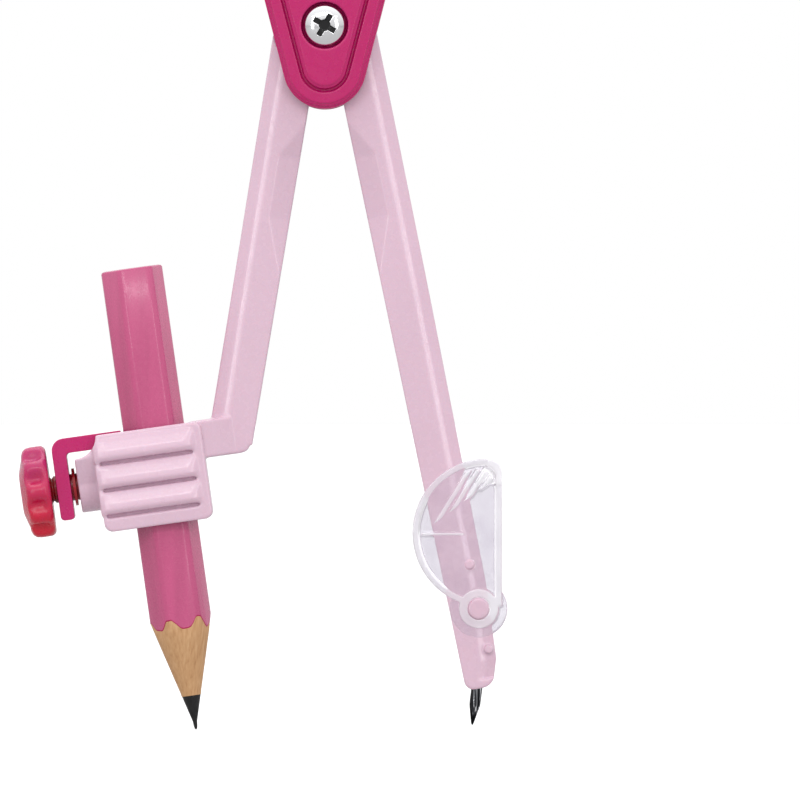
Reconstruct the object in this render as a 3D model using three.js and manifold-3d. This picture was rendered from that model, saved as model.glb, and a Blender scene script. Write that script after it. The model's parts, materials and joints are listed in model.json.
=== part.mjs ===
// A drawing compass that holds a pencil, standing open with both tips on the paper.
// Millimetres, +Z up. It is worked out from the hinge pivot, and moved onto the paper at the end.
// x runs across the compass, y from front (negative) to back, z up.
import * as THREE from "three";
import { ConvexGeometry } from "three/addons/geometries/ConvexGeometry.js";
import { mergeVertices } from "three/addons/utils/BufferGeometryUtils.js";
import Module from "manifold-3d";

const wasm = await Module();
wasm.setup();

const RAD = Math.PI / 180;
const GAP = 0.3; // room between two pieces that touch in the real object
const RUNNING = 0.08; // room around a shaft that turns in its hole

// Legs: each is described closed, hanging straight down from the pivot, then swung out.
const PENCIL_LEG_SWING = 9.5 * RAD;
const NEEDLE_LEG_SWING = -11.8 * RAD;
const LEG_HALF_DEPTH = 2.2;
const LEG_INNER = 0.3;
const LEG_OUTER_TOP = 6.2;
const LEG_BEVEL = 0.7;
const DISC_R = 6.1;
const DISC_INNER_FACE = 0.55;
const LAP_R = 6.5;
const SCOOP = { top: -12.2, high: -16.9, low: -24.7, bottom: -32.2, across: 3.0, depth: 1.2, spare: 0.3 };

// Head covers and the stack on the hinge screw
const COVER_INNER = LEG_HALF_DEPTH + GAP;
const COVER_OUTER = 5.0;
const PANEL_FACE = 5.6;
const PANEL_INSET = 2.5;
const HEAD = { bottomR: 5.2, bottomZ: -5.2, flare: 14.4 * RAD, wide: 7.55, wideZ: 3.3, neck: 4.2, top: 13.2 };
const SCREW = { headR: 2.6, wellR: 2.93, wellFloor: 4.2, dome: 5.9, shaftR: 1.3, holeR: 1.6 };
const NUT = { across: 5.0, pocketAcross: 5.7, from: 4.0, to: 5.3 };
const BUSH = { outerR: 2.0, innerR: 1.6, boreR: 2.08 };
const WASHER = { outerR: 4.4, thick: 0.6, pocketR: 4.8 };

// Grip above the head
const STEM_R = 1.5;
const STEM_HOLE_R = 1.8;
const GRIP = { bottom: 13.5, top: 38, r: 4.4, flutes: 12, fluteR: 0.75, collarR: 4.9, collar: 2.2 };
const CAP = { bottom: 38.3, top: 42, r: 4.3 };

// Pencil and its holder: described with the pencil upright (x across it, z along it), then tilted.
const PENCIL_TILT = -8 * RAD;
const PENCIL_PLACE = new THREE.Vector3(-20.5, 0, -56.5);
const PENCIL = { tip: -31.72, length: 58.2, across: 7.0, cornerR: 3.85, turn: 7 * RAD, coneAngle: 15.5 * RAD };
const LEAD_R = 1.05;
const WOOD_BORE_R = 1.3;
const WOOD_R = 2.8;
const LACQUER_BORE_R = 3.1;
const BODY = { left: -7.7, right: 5.9, bottom: -5.8, top: 6.4, halfDepth: 5.3, corner: 1.2, bevel: 0.45 };
const SOCKET = { left: -7.0, right: 4.15, halfDepth: 3.95 };
// Each rib is a sloping ledge: steep under its crest, with a long gentle slope above.
const RIBS = { under: [3.0, -0.35, -3.6], left: -7.6, right: 4.2, root: 5.0, crest: 5.95 };
const WEB = { bottom: 1.4, frontFace: 4.9, hollow: [-10.05, 6.55], hollowR: 2.75 };
const ELBOW_RAMP = { from: 4.9, to: 10, bottom: 1.9, top: 6.2 };
const BOSS = { r: 3.3, left: -10.3, z: 0.4, boreR: 2.85 };
const INSERT = { outerR: 2.55, innerR: 2.0 };
const BRACKET = { left: -13.0, armRight: -11.25, jawLeft: -5.3, jawRight: -4.15, bottom: -3.6 };
const STRAP = { bottom: 4.7, top: 6.6, halfDepth: 3.3, corner: 1.3 };
const CLAMP_SCREW_R = 1.7;
const KNOB = { right: -13.8, rim: -16.8, dome: -17.7, r: 5.95, lobes: 10, dent: 0.7 };
const CLIP = { r: 2.35, thick: 0.35 };

// Needle, its pin and the flip-over needle cover (all from the needle leg's own frame)
const PIN = new THREE.Vector2(3.92, -75.2);
const FOOT_Z = -85;
const FOOT_R = 1.2;
const PIN_R = 1.28;
const NUB_R = 0.55;
const NUB_OFFSETS = [[0.05, 5.6], [0.2, -5.2]];
const NEEDLE = { exit: [1.65, -85], tip: [0.15, -89.3], r: 0.7, holeR: 1.0, cone: 2.6, inside: 6 };
const COVER = {
  innerFace: LEG_HALF_DEPTH + GAP, wall: 1.0, centre: [1.05, 9.45], r: 9.3, right: 2.9, hubR: 3.6,
  holeR: 1.36, ringR: 2.44, ringRise: 0.3, detent: [-1.1, 5.5], detentR: 0.7, blockFrom: 15.75, blockLeft: 0.2,
};

const LOOKS = {
  pale_pink: [0xe2c2d4, 0.3, 0],
  magenta: [0xc33a6e, 0.3, 0],
  knob_red: [0xb82a4c, 0.32, 0],
  clear: [0xdfe3e6, 0.08, 0],
  steel: [0xc4c6c9, 0.25, 1],
  brass: [0xb8954a, 0.35, 1],
  nylon: [0xd9d6cf, 0.6, 0],
  lacquer: [0xcb668e, 0.28, 0],
  wood: [0xc49a6e, 0.7, 0],
  graphite: [0x2b2c2e, 0.5, 0.1],
};

const group = new THREE.Group();
group.name = "drawing_compass";

// ---- solids ----

function solid(geometry) {
  const bare = geometry.clone();
  bare.deleteAttribute("normal");
  bare.deleteAttribute("uv");
  const merged = mergeVertices(bare, 1e-5);
  return new wasm.Manifold(new wasm.Mesh({
    numProp: 3,
    vertProperties: new Float32Array(merged.attributes.position.array),
    triVerts: new Uint32Array(merged.index.array),
  }));
}

function geometryOf(body) {
  const mesh = body.getMesh();
  const geometry = new THREE.BufferGeometry();
  geometry.setAttribute("position", new THREE.Float32BufferAttribute(mesh.vertProperties, 3));
  geometry.setIndex(Array.from(mesh.triVerts));
  geometry.computeVertexNormals();
  return geometry;
}

function join(...geometries) {
  return geometryOf(geometries.map(solid).reduce((sum, next) => sum.add(next)));
}

function cut(geometry, ...tools) {
  return geometryOf(tools.map(solid).reduce((left, tool) => left.subtract(tool), solid(geometry)));
}

function overlap(a, b) {
  return geometryOf(solid(a).intersect(solid(b)));
}

// An outline in x and z, filled from y = front to y = back, with an optional bevel on both faces.
function slab(shape, front, back, bevel = 0, curveSegments = 8) {
  const geometry = new THREE.ExtrudeGeometry(shape, {
    depth: back - front - 2 * bevel,
    bevelEnabled: bevel > 0,
    bevelThickness: bevel,
    bevelSize: bevel,
    bevelOffset: -bevel,
    bevelSegments: 2,
    curveSegments,
  });
  geometry.rotateX(Math.PI / 2);
  geometry.translate(0, back - bevel, 0);
  return geometry;
}

function box(x0, x1, y0, y1, z0, z1) {
  const geometry = new THREE.BoxGeometry(x1 - x0, y1 - y0, z1 - z0);
  geometry.translate((x0 + x1) / 2, (y0 + y1) / 2, (z0 + z1) / 2);
  return geometry;
}

// A closed profile of [radius, height] points turned about an axis through the origin.
function turned(profile, axis, segments = 24) {
  const points = profile.map(([r, h]) => new THREE.Vector2(r, h));
  const closed = profile[0][0] > 0 ? [...points, points[0].clone()] : points;
  const geometry = new THREE.LatheGeometry(closed, segments);
  if (axis === "z") geometry.rotateX(Math.PI / 2);
  if (axis === "x") geometry.rotateZ(-Math.PI / 2);
  return geometry;
}

function rod(r, from, to, axis, segments = 24) {
  return turned([[0, from], [r, from], [r, to], [0, to]], axis, segments);
}

function tube(outerR, innerR, from, to, axis, segments = 24) {
  return turned([[innerR, from], [outerR, from], [outerR, to], [innerR, to]], axis, segments);
}

function circleShape(x, z, r) {
  const shape = new THREE.Shape();
  shape.absarc(x, z, r, 0, 2 * Math.PI, false);
  return shape;
}

function polygonShape(points) {
  return new THREE.Shape(points.map(([x, z]) => new THREE.Vector2(x, z)));
}

function roundedRect(left, right, bottom, top, r) {
  const shape = new THREE.Shape();
  shape.absarc(right - r, bottom + r, r, -Math.PI / 2, 0, false);
  shape.absarc(right - r, top - r, r, 0, Math.PI / 2, false);
  shape.absarc(left + r, top - r, r, Math.PI / 2, Math.PI, false);
  shape.absarc(left + r, bottom + r, r, Math.PI, 1.5 * Math.PI, false);
  return shape;
}

function hexShape(across, turn) {
  const r = across / 2 / Math.cos(Math.PI / 6);
  return polygonShape([0, 1, 2, 3, 4, 5].map((i) => {
    const angle = turn + i * Math.PI / 3;
    return [r * Math.cos(angle), r * Math.sin(angle)];
  }));
}

function add(name, geometry, look) {
  const [color, roughness, metalness] = LOOKS[look];
  const material = new THREE.MeshStandardMaterial({ color, roughness, metalness });
  const mesh = new THREE.Mesh(geometry, material);
  mesh.name = name;
  group.add(mesh);
}

// From a closed leg's frame to the open stance
function swung(geometry, swing) {
  return geometry.rotateY(swing);
}

// From the upright pencil's frame to the open stance
function tilted(geometry) {
  geometry.rotateY(PENCIL_TILT);
  return geometry.translate(PENCIL_PLACE.x, PENCIL_PLACE.y, PENCIL_PLACE.z);
}

// ---- head ----

// The covers' outline, drawn in by inset on every side, up to z = top
function headShape(inset, top) {
  const r = HEAD.bottomR - inset;
  const wide = HEAD.wide - inset;
  const neck = HEAD.neck - inset * 0.8;
  const shape = new THREE.Shape();
  shape.absarc(0, HEAD.bottomZ, r, Math.PI + HEAD.flare, 2 * Math.PI - HEAD.flare, false);
  shape.lineTo(wide, HEAD.wideZ);
  shape.bezierCurveTo(wide + 0.5, HEAD.wideZ + 3, neck + 0.2, top - 4.5, neck, top);
  shape.lineTo(-neck, top);
  shape.bezierCurveTo(-neck - 0.2, top - 4.5, -wide - 0.5, HEAD.wideZ + 3, -wide, HEAD.wideZ);
  return shape;
}

// side -1 is the front cover, +1 the rear one
function headCover(side) {
  const span = (near, far) => (side < 0 ? [-far, -near] : [near, far]);
  const bevelled = slab(headShape(0, HEAD.top), -COVER_OUTER, COVER_OUTER, 0.5, 6);
  const [y0, y1] = span(COVER_INNER, COVER_OUTER + 1);
  const plate = overlap(bevelled, box(-20, 20, y0, y1, -20, 20));
  const panel = slab(headShape(PANEL_INSET, HEAD.top - 3.2), ...span(COVER_OUTER - 1, PANEL_FACE), 0.25, 6);
  const washerWell = rod(WASHER.pocketR, ...span(COVER_INNER - 1, COVER_INNER + WASHER.thick + GAP), "y");
  const shaftHole = rod(SCREW.holeR, -10, 10, "y");
  const well = side < 0
    ? rod(SCREW.wellR, -10, -SCREW.wellFloor, "y")
    : slab(hexShape(NUT.pocketAcross, 0), NUT.from - GAP, 10);
  return cut(join(plate, panel), washerWell, shaftHole, well);
}

function hingeScrew() {
  const { headR, wellFloor, dome, shaftR } = SCREW;
  const seat = -wellFloor - GAP;
  const body = turned([
    [0, -dome], [headR * 0.55, -dome + 0.12], [headR * 0.9, -dome + 0.45], [headR, -dome + 0.85],
    [headR, seat], [shaftR, seat], [shaftR, NUT.to], [0, NUT.to],
  ], "y");
  const slot = (a) => box(-1.45, 1.45, -10, -dome + 0.75, -0.32, 0.32).rotateY(a);
  return cut(body, slot(30 * RAD), slot(120 * RAD));
}

function buildHead() {
  add("head_front_cover", headCover(-1), "magenta");
  add("head_rear_cover", headCover(1), "magenta");
  add("hinge_screw", hingeScrew(), "steel");
  const nut = slab(hexShape(NUT.across, 0), NUT.from, NUT.to);
  add("hinge_nut", cut(nut, rod(SCREW.holeR, 0, 10, "y")), "steel");
  add("hinge_bush", tube(BUSH.outerR, BUSH.innerR, -LEG_HALF_DEPTH, LEG_HALF_DEPTH, "y"), "brass");
  const washer = (from, to) => tube(WASHER.outerR, BUSH.boreR, from, to, "y");
  const near = LEG_HALF_DEPTH + GAP;
  add("front_friction_washer", washer(-near - WASHER.thick, -near), "nylon");
  add("middle_friction_washer", washer(GAP - DISC_INNER_FACE, DISC_INNER_FACE - GAP), "nylon");
  add("rear_spring_washer", washer(near, near + WASHER.thick), "steel");
}

// ---- grip ----

function gripSleeve() {
  const { bottom, top, r, flutes, fluteR, collarR, collar } = GRIP;
  const steps = flutes * 4;
  const outline = Array.from({ length: steps }, (_, i) => {
    const angle = i * 2 * Math.PI / steps;
    const radius = r - (i % 4 === 0 ? fluteR : 0) - (i % 4 === 2 ? -0.12 : 0.1);
    return [radius * Math.cos(angle), radius * Math.sin(angle)];
  });
  const fluted = new THREE.ExtrudeGeometry(polygonShape(outline), { depth: top - bottom, bevelEnabled: false });
  fluted.translate(0, 0, bottom);
  const ring = rod(collarR, bottom, bottom + collar, "z", 32);
  return cut(join(fluted, ring), rod(STEM_HOLE_R, bottom - 1, top + 1, "z"));
}

function buildGrip() {
  const spacerBottom = 7.6;
  const spacer = box(-3.4, 3.4, -LEG_HALF_DEPTH, LEG_HALF_DEPTH, spacerBottom, HEAD.top);
  add("head_spacer", cut(spacer, rod(STEM_HOLE_R, spacerBottom + 1.2, 30, "z")), "magenta");
  add("grip_stem", rod(STEM_R, spacerBottom + 1.5, CAP.bottom + 1.6, "z"), "steel");
  add("grip_sleeve", gripSleeve(), "magenta");
  const { bottom, top, r } = CAP;
  const cap = turned([[0, bottom], [r, bottom], [r, top - 1.2], [r - 0.35, top - 0.4], [r - 1.2, top], [0, top]], "z");
  add("grip_cap", cut(cap, rod(STEM_HOLE_R, bottom - 1, bottom + 1.9, "z")), "magenta");
}

// ---- legs ----

// The shallow finger hollow in a leg's front inner edge. side +1 is the needle leg, -1 the pencil leg.
function scoop(side) {
  const { top, high, low, bottom, across, depth, spare } = SCOOP;
  const run = across - LEG_INNER;
  const edge = LEG_INNER - run * spare;
  const face = -LEG_HALF_DEPTH;
  const over = face - 1.5;
  const deep = face + depth * (1 + spare);
  const outline = [
    [edge, top + (top - high) * spare], [across, high], [across, low], [edge, bottom + (bottom - low) * spare],
  ];
  const points = outline.flatMap(([x, z]) => [[x, face, z], [x, over, z]]);
  points.push([edge, deep, high], [edge, deep, low]);
  return new ConvexGeometry(points.map(([x, y, z]) => new THREE.Vector3(side * x, y, z)));
}

// A whole leg arm with its hinge disc. discSide -1 keeps the front half of the disc, +1 the rear half.
function hinged(arm, discSide) {
  const disc = rod(DISC_R, -LEG_HALF_DEPTH, LEG_HALF_DEPTH, "y", 40);
  const lapSpan = discSide < 0 ? [-DISC_INNER_FACE, 5] : [-5, DISC_INNER_FACE];
  return cut(join(arm, disc), rod(LAP_R, ...lapSpan, "y", 40), rod(BUSH.boreR, -5, 5, "y"));
}

function pencilLegArm() {
  const shape = polygonShape([
    [-LEG_INNER, 0], [-LEG_OUTER_TOP, 0], [-5.95, -36], [-5.9, -51.4], [-LEG_INNER, -53.2],
  ]);
  const arm = slab(shape, -LEG_HALF_DEPTH, LEG_HALF_DEPTH, LEG_BEVEL);
  return swung(cut(hinged(arm, 1), scoop(-1)), PENCIL_LEG_SWING);
}

// The bend between the arm and the holder, with faces that slope from the one's depth to the other's
function elbow() {
  const shape = new THREE.Shape();
  shape.moveTo(4.6, 1.7);
  shape.lineTo(10.4, 1.7);
  shape.quadraticCurveTo(11.8, 1.8, 11.4, 3.9);
  shape.lineTo(10, 6.5);
  shape.lineTo(4.6, 6.5);
  const { from, to, bottom, top } = ELBOW_RAMP;
  const wide = BODY.halfDepth - 0.15;
  const corners = [];
  for (const z of [bottom, top]) {
    for (const side of [-1, 1]) {
      corners.push(new THREE.Vector3(from, side * wide, z), new THREE.Vector3(to, side * (LEG_HALF_DEPTH - 0.1), z));
    }
  }
  return join(slab(shape, -LEG_HALF_DEPTH, LEG_HALF_DEPTH, 0.6, 4), new ConvexGeometry(corners));
}

// One ledge on the holder's front (side -1) or back (side 1), with its underside at height z
function rib(z, side) {
  const { left, right, root, crest } = RIBS;
  const section = [
    [root, 0], [crest - 0.5, 0.1], [crest, 0.55], [crest - 0.15, 1.3], [crest - 0.55, 2.7], [root, 2.9],
  ];
  const shape = polygonShape(section.map(([depth, rise]) => [side * depth, z + rise]));
  const geometry = new THREE.ExtrudeGeometry(shape, { depth: right - left, bevelEnabled: false });
  // the section's two directions become y and z, and its length runs along x
  geometry.applyMatrix4(new THREE.Matrix4().set(0, 0, 1, left, 1, 0, 0, 0, 0, 1, 0, 0, 0, 0, 0, 1));
  return geometry;
}

// The plate that joins the boss to the holder's upper corner, in front of the strap
function bossWeb(side) {
  const [near, far] = side < 0 ? [-WEB.frontFace, -2] : [2, WEB.frontFace];
  return box(BOSS.left, SOCKET.left, near, far, WEB.bottom, BODY.top - 0.2);
}

function holderBody() {
  const { left, right, bottom, top, halfDepth, corner, bevel } = BODY;
  const block = slab(roundedRect(left, right, bottom, top, corner), -halfDepth, halfDepth, bevel, 4);
  const ribs = RIBS.under.flatMap((z) => [rib(z, -1), rib(z, 1)]);
  const boss = rod(BOSS.r, BOSS.left, SOCKET.left, "x", 28).translate(0, 0, BOSS.z);
  const socket = box(SOCKET.left, SOCKET.right, -SOCKET.halfDepth, SOCKET.halfDepth, -20, 20);
  const insertHole = rod(BOSS.boreR, -20, SOCKET.left + 1, "x").translate(0, 0, BOSS.z);
  const strapNotch = box(left - 5, SOCKET.left + 1, -STRAP.halfDepth - GAP, STRAP.halfDepth + GAP, STRAP.bottom - GAP, 20);
  const [hollowX, hollowZ] = WEB.hollow;
  const hollow = rod(WEB.hollowR, -20, 20, "y", 32).translate(hollowX, 0, hollowZ);
  return cut(join(block, ...ribs, boss, bossWeb(-1), bossWeb(1)), socket, insertHole, strapNotch, hollow);
}

function buildPencilLeg() {
  const socket = box(SOCKET.left, SOCKET.right, -SOCKET.halfDepth, SOCKET.halfDepth, -20, 20);
  const holder = cut(join(holderBody(), elbow()), socket);
  add("pencil_leg", join(pencilLegArm(), tilted(holder)), "pale_pink");
  const insert = tube(INSERT.outerR, INSERT.innerR, BOSS.left + 0.2, SOCKET.left - 0.1, "x");
  add("threaded_insert", tilted(insert.translate(0, 0, BOSS.z)), "brass");
}

// ---- clamp ----

function clampBracket() {
  const { left, armRight, jawLeft, jawRight, bottom } = BRACKET;
  const { bottom: under, top, halfDepth, corner } = STRAP;
  const shape = new THREE.Shape();
  shape.moveTo(armRight, bottom + 0.8);
  shape.lineTo(armRight, under);
  shape.lineTo(jawLeft, under);
  shape.lineTo(jawLeft, bottom);
  shape.lineTo(jawRight, bottom);
  shape.lineTo(jawRight, top);
  shape.lineTo(left + corner, top);
  shape.absarc(left + corner, top - corner, corner, Math.PI / 2, Math.PI, false);
  shape.lineTo(left, bottom + 0.8);
  shape.quadraticCurveTo(left, bottom, (left + armRight) / 2, bottom);
  shape.quadraticCurveTo(armRight, bottom, armRight, bottom + 0.8);
  const hole = rod(CLAMP_SCREW_R + RUNNING, -20, armRight + 2, "x").translate(0, 0, BOSS.z);
  return cut(slab(shape, -halfDepth, halfDepth, 0.25, 4), hole);
}

// Drawn in the plane across the screw, then turned to face along it
function knobRim() {
  const { right, rim, r, lobes, dent } = KNOB;
  const steps = lobes * 6;
  const outline = Array.from({ length: steps }, (_, i) => {
    const angle = i * 2 * Math.PI / steps;
    const radius = r - dent * Math.sin(lobes * angle / 2) ** 4;
    return [radius * Math.cos(angle), radius * Math.sin(angle)];
  });
  const geometry = new THREE.ExtrudeGeometry(polygonShape(outline), {
    depth: right - rim - 0.8,
    bevelThickness: 0.4,
    bevelSize: 0.4,
    bevelOffset: -0.4,
    bevelSegments: 1,
  });
  geometry.rotateY(-Math.PI / 2);
  return geometry.translate(right - 0.4, 0, BOSS.z);
}

function buildClamp() {
  add("clamp_bracket", tilted(clampBracket()), "magenta");
  const along = (geometry) => geometry.translate(0, 0, BOSS.z);
  const { right, rim, dome } = KNOB;
  const dish = turned([[0, dome], [2.6, dome + 0.15], [4.2, dome + 0.6], [4.9, rim + 0.3], [0, rim + 0.3]], "x", 32);
  const bore = rod(CLAMP_SCREW_R + GAP, right - 2.2, right + 2, "x");
  add("clamp_knob", tilted(cut(join(knobRim(), along(dish)), along(bore))), "knob_red");
  add("clamp_screw", tilted(along(rod(CLAMP_SCREW_R, right - 1.9, -6.2, "x"))), "knob_red");
  const clipLeft = BRACKET.armRight + GAP;
  const clip = tube(CLIP.r, CLAMP_SCREW_R + GAP, clipLeft, clipLeft + CLIP.thick, "x");
  add("retaining_clip", tilted(along(clip)), "knob_red");
}

// ---- pencil ----

function pencilCone(from, to, axisSegments = 24) {
  const slope = Math.tan(PENCIL.coneAngle);
  return turned([[0, from], [from * slope, from], [to * slope, to], [0, to]], "z", axisSegments);
}

function buildPencil() {
  const { tip, length: top, across, turn, coneAngle } = PENCIL;
  const slope = Math.tan(coneAngle);
  const leadShoulder = LEAD_R / slope;
  const woodStart = WOOD_BORE_R / slope;
  const raise = (geometry) => tilted(geometry.translate(0, 0, tip));
  const lead = turned([[0, 0], [LEAD_R, leadShoulder], [LEAD_R, top - 0.6], [0, top - 0.6]], "z", 20);
  add("pencil_lead", raise(lead), "graphite");
  const woodEnd = (LACQUER_BORE_R - 0.05) / slope;
  const wood = turned([
    [WOOD_BORE_R, woodStart], [LACQUER_BORE_R - 0.05, woodEnd], [WOOD_R, woodEnd + 0.3], [WOOD_R, top - 0.4],
    [WOOD_BORE_R, top - 0.4],
  ], "z", 24);
  add("pencil_wood", raise(wood), "wood");
  const prism = new THREE.ExtrudeGeometry(hexShape(across, turn), { depth: top - 11.5, bevelEnabled: false });
  prism.translate(0, 0, 11.5);
  const rounded = overlap(prism, rod(PENCIL.cornerR, 0, top, "z", 36));
  const sharpened = overlap(rounded, pencilCone(6, top + 5, 36));
  const lacquer = cut(sharpened, rod(LACQUER_BORE_R, 0, top + 5, "z"));
  add("pencil_lacquer", raise(lacquer), "lacquer");
}

// ---- needle leg ----

function alongNeedle(geometry) {
  const [tipX, tipZ] = NEEDLE.tip;
  const lean = Math.atan2(NEEDLE.exit[0] - tipX, NEEDLE.exit[1] - tipZ);
  geometry.rotateY(lean);
  return geometry.translate(tipX, 0, tipZ);
}

// The stub on both faces that the needle cover turns on
function coverPin() {
  const face = COVER.innerFace + COVER.wall;
  const bevel = 0.25;
  return turned([
    [0, -face - 0.2], [PIN_R - bevel, -face - 0.2], [PIN_R, -face],
    [PIN_R, face], [PIN_R - bevel, face + 0.2], [0, face + 0.2],
  ], "y", 20).translate(PIN.x, 0, PIN.y);
}

function needleLeg() {
  const shape = new THREE.Shape();
  shape.moveTo(LEG_OUTER_TOP, 0);
  shape.lineTo(LEG_INNER, 0);
  shape.absarc(LEG_INNER + FOOT_R, FOOT_Z + FOOT_R, FOOT_R, Math.PI, 1.5 * Math.PI, false);
  shape.absarc(2.45, FOOT_Z + 1.8, 1.8, 1.5 * Math.PI, 1.85 * Math.PI, false);
  shape.lineTo(4.83, -81.7);
  shape.lineTo(5.5, -72);
  shape.lineTo(5.95, -36);
  const arm = slab(shape, -LEG_HALF_DEPTH, LEG_HALF_DEPTH, LEG_BEVEL, 4);
  const nubs = NUB_OFFSETS.map(([dx, dz]) => rod(NUB_R, -LEG_HALF_DEPTH - 0.15, LEG_HALF_DEPTH + 0.15, "y", 12)
    .translate(PIN.x + dx, 0, PIN.y + dz));
  const inside = Math.hypot(NEEDLE.exit[0] - NEEDLE.tip[0], NEEDLE.exit[1] - NEEDLE.tip[1]) + NEEDLE.inside;
  const needleHole = alongNeedle(rod(NEEDLE.holeR, 3, inside + GAP, "z", 16));
  return cut(join(hinged(arm, -1), ...nubs, coverPin()), scoop(1), needleHole);
}

function buildNeedleLeg() {
  add("needle_leg", swung(needleLeg(), NEEDLE_LEG_SWING), "pale_pink");
  const { r, cone, inside, exit, tip } = NEEDLE;
  const length = Math.hypot(exit[0] - tip[0], exit[1] - tip[1]) + inside;
  const needle = turned([[0, 0], [0.12, 0.1], [r, cone], [r, length], [0, length]], "z", 16);
  add("needle", swung(alongNeedle(needle), NEEDLE_LEG_SWING), "steel");
}

// ---- needle cover, described upright about its pin ----

function coverOutline() {
  const [cx, cz] = COVER.centre;
  const disc = slab(circleShape(cx, cz, COVER.r), -6, 6, 0, 24);
  const leftPart = box(-20, COVER.right, -6, 6, -20, 40);
  const hub = rod(COVER.hubR, -6, 6, "y", 32);
  return join(overlap(disc, leftPart), hub);
}

function needleCover() {
  const { innerFace, wall, holeR, ringR, ringRise, detent, detentR, blockFrom, blockLeft } = COVER;
  const face = innerFace + wall;
  const outline = coverOutline();
  const walls = [-1, 1].map((side) => {
    const y = side < 0 ? [-face, -innerFace] : [innerFace, face];
    const ring = side < 0 ? [-face - ringRise, -innerFace] : [innerFace, face + ringRise];
    return join(overlap(outline, box(-30, 30, ...y, -30, 40)), rod(ringR, ...ring, "y"));
  });
  const middle = overlap(outline, box(blockLeft, 30, -innerFace - 0.1, innerFace + 0.1, 0, 40));
  const block = cut(middle, rod(blockFrom, -5, 5, "y", 64));
  const hole = rod(holeR, -10, 10, "y");
  const detentHole = rod(detentR, -10, 10, "y", 12).translate(detent[0], 0, detent[1]);
  return cut(join(...walls, block), hole, detentHole);
}

// Where the cover's pin comes in the open stance
function pinPlace() {
  return new THREE.Vector3(PIN.x, 0, PIN.y).applyAxisAngle(new THREE.Vector3(0, 1, 0), NEEDLE_LEG_SWING);
}

function buildNeedleCover() {
  const place = pinPlace();
  add("needle_cover", needleCover().translate(place.x, 0, place.z), "clear");
}

buildHead();
buildGrip();
buildPencilLeg();
buildClamp();
buildPencil();
buildNeedleLeg();
buildNeedleCover();

// The paper becomes z = 0, and the middle of the footprint x = y = 0.
const extent = new THREE.Box3().setFromObject(group);
const middle = extent.getCenter(new THREE.Vector3());
for (const mesh of group.children) {
  mesh.geometry.translate(-middle.x, -middle.y, -extent.min.z);
}

export default group;
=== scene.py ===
"""A drawing compass with a clamped pencil and a flip-over needle cover, built round its CAD frame."""

import json
from math import asin, atan2, cos, degrees, pi, radians, sin, tan

import bmesh
import bpy
from mathutils import Matrix, Vector


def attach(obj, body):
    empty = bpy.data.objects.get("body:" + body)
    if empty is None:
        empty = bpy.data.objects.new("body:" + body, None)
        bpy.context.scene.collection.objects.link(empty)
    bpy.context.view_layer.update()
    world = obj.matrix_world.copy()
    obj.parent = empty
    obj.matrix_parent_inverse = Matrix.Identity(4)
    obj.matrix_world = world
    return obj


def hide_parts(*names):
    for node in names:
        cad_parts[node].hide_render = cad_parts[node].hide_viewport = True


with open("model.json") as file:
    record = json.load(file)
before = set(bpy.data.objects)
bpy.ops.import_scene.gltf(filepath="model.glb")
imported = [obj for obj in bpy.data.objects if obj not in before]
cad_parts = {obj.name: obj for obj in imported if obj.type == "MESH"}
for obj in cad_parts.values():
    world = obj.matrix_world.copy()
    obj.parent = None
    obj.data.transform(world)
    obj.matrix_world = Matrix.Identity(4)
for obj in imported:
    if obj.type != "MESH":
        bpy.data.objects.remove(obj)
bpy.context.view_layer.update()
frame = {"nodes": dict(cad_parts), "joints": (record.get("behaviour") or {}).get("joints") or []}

# Shapes are drawn in millimetres from the hinge pivot, as the CAD model's are, and placed in metres.
MM = 0.001
JOINTS = {joint["name"]: joint for joint in frame["joints"]}
PIVOT = Vector(JOINTS["pencil_leg_hinge"]["pos_m"])
COVER_PIVOT = Vector(JOINTS["needle_cover_hinge"]["pos_m"])
PENCIL_AXIS = Vector(JOINTS["pencil_slide"]["axis"])

PENCIL_LEG_SWING = radians(9.5)
NEEDLE_LEG_SWING = radians(-11.8)
PENCIL_TILT = atan2(PENCIL_AXIS.x, PENCIL_AXIS.z)
PENCIL_PLACE = Vector((-20.5, 0, -56.5)) * MM

LEG_HALF_DEPTH = 2.2
LEG_INNER = 0.3
LEG_OUTER_TOP = 6.2
DISC_R = 6.1
DISC_INNER_FACE = 0.55
LAP_R = 6.5
BUSH_BORE_R = 2.08

COVER_INNER = 2.5
COVER_OUTER = 5.0
PANEL_FACE = 5.6
PANEL_INSET = 2.5
HEAD_TOP = 13.2
WELL_R = 2.93
WELL_FLOOR = 4.2

HOLDER_FACE = 5.25
SOCKET = (-7.0, 4.15, 3.95)
RIB_UNDERSIDES = (3.0, -0.35, -3.6)
RIB_CREST = 5.92
CLAMP_Z = 0.4

PENCIL_TIP = -31.72
PENCIL_CONE = radians(15.5)
PENCIL_ACROSS = 7.0
PENCIL_CORNER_R = 3.85
PENCIL_TURN = radians(7)
LEAD_R = 1.2

PIN = (3.92, -75.2)
COVER_FACE = 3.5
COVER_RIM_ROOT = 3.3
COVER_RIM_FACE = 3.75
COVER_CAVITY = 2.5

SCREW_HEAD_R = 2.6
SCREW_HEAD_FACE = 5.9
SCREW_DOME_RISE = 0.85
SCREW_SHANK_R = 1.3
SLOT_HALF_LENGTH = 1.5
SLOT_HALF_WIDTH = 0.33
SLOT_MOUTH = -5.72
SLOT_BELOW_FLOOR = -4.52
SLOT_REACH = 1.62

GRIP_BOTTOM = 13.5
GRIP_TOP = 38.0
GRIP_R = 4.42
FLUTES = 12
FLUTE_DEPTH = 0.75

KNOB_MIDDLE = -15.5
KNOB_R = 5.9
KNOB_LOBES = 10
CLAMP_SCREW_R = 1.69
THREAD_ROOT_R = 1.42
THREAD_PITCH = 0.7

PENCIL_TOP = 58.2
LEAST_RADIUS = 0.002

VIEW_WIDTH = 0.1
LENS = 900
SENSOR = 36


# ---- frames ----

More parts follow.
